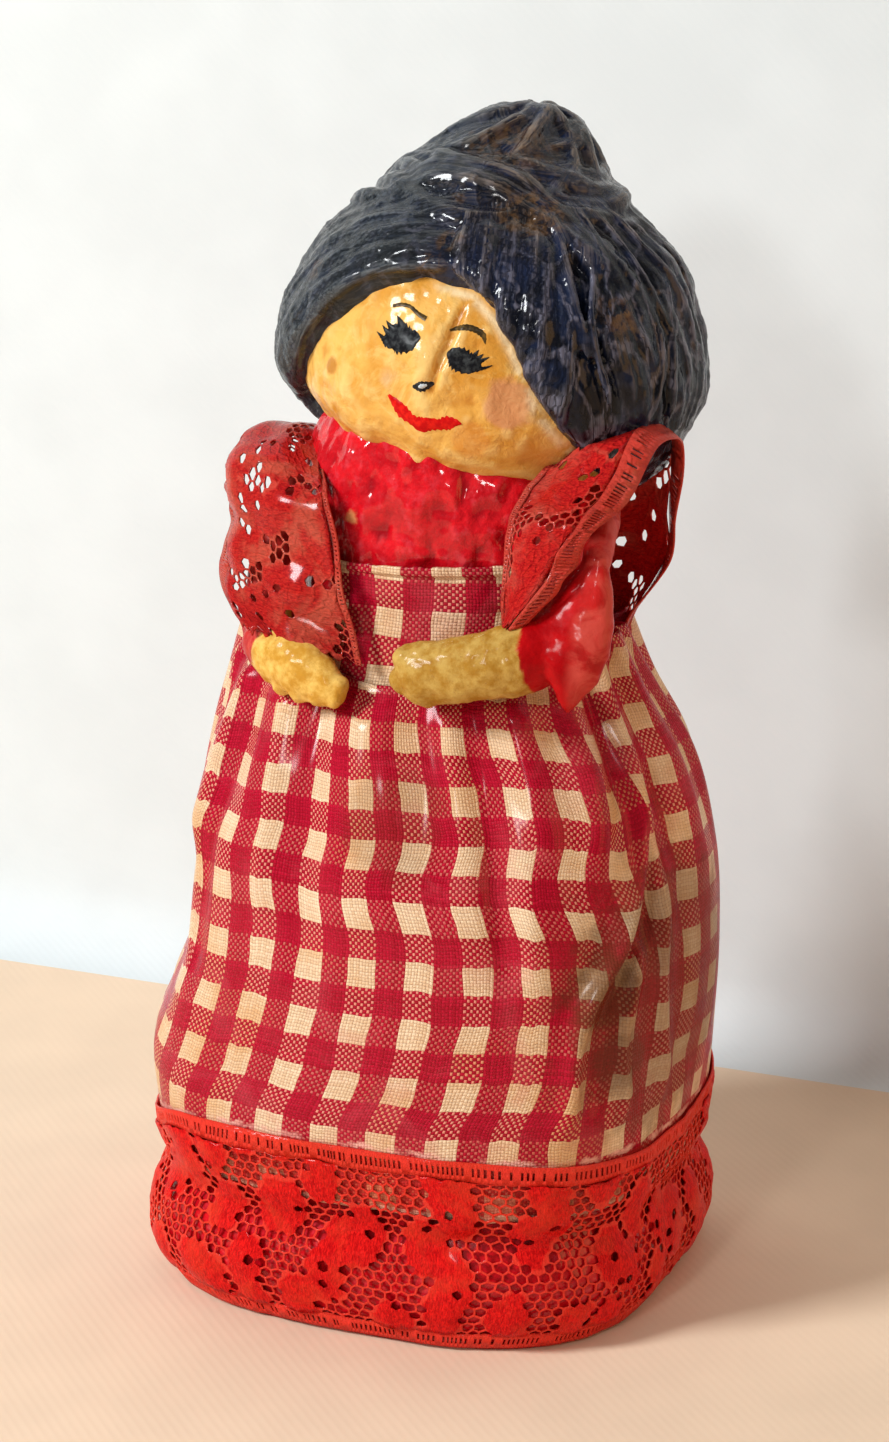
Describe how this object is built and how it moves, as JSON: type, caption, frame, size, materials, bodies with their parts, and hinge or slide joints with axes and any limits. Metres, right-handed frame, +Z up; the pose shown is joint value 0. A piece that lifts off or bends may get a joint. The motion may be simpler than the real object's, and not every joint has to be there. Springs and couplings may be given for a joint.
{
  "type": "papier-mache figure",
  "caption": "Papier-mache doll with a leaning topknot, folded arms, a gathered gingham skirt and bib, and lace at the hem and shoulders.",
  "frame": {"origin": "middle of the flat underside of the papier-mache core", "axes": "+Z up through the head, -Y out of the face, +X towards the arm that crosses the waist"},
  "size_m": [0.0623, 0.0562, 0.1307],
  "materials": {
    "painted_core": "red paint and gloss varnish on lumpy papier-mache, with an ochre face",
    "painted_hair": "navy-black paint, dry-brushed grey-brown on the ridges, varnished",
    "painted_skin": "ochre paint with varnish, red above the wrist",
    "gingham": "crimson and cream woven gingham, varnished",
    "hem_lace": "vermilion nylon lace, painted",
    "frill_lace": "red lace stiffened with pinkish gloss varnish"
  },
  "bodies": {
    "root": {"body": "painted_core", "hair": "painted_hair", "left_arm": "painted_skin", "right_arm": "painted_skin", "bib": "gingham", "skirt": "gingham", "hem_lace": "hem_lace", "left_sleeve": "frill_lace", "right_sleeve": "frill_lace"}
  },
  "joints": []
}
